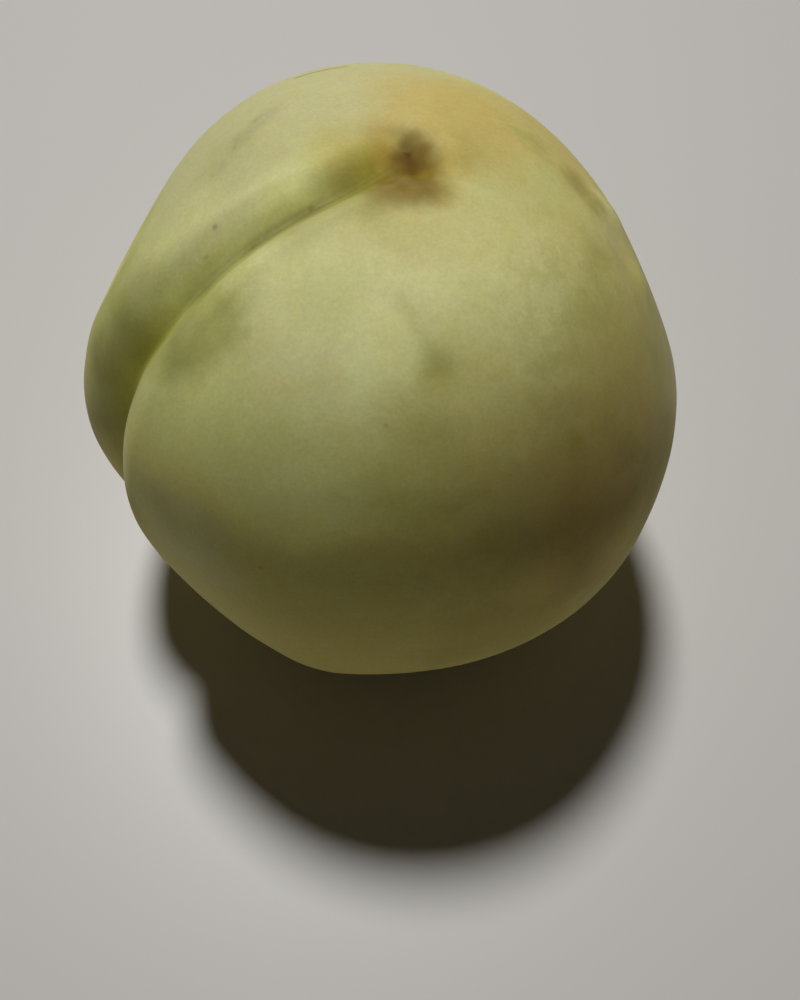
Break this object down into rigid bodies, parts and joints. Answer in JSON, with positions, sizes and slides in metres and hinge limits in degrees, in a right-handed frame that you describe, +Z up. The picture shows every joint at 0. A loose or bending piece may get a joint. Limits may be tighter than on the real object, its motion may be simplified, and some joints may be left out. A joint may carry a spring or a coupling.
{
  "type": "peach",
  "caption": "Whole peach as picked, resting on its stem end: a round fruit with two unequal lobes parted by a deep suture, a small scarred basin at the tip and a funnel under the stem end.",
  "frame": {"origin": "under the middle of the fruit, on the surface that it rests on", "axes": "+Z up, from the stem end to the tip; the suture comes down on the -X side, 27 degrees round towards -Y; -Y is the side of the broad lobe"},
  "size_m": [0.0684, 0.0684, 0.0668],
  "materials": {
    "skin": "matte downy skin, pale yellow-green with a faint orange blush and a brown halo at the tip"
  },
  "bodies": {
    "root": {"peach": "skin"}
  },
  "joints": []
}
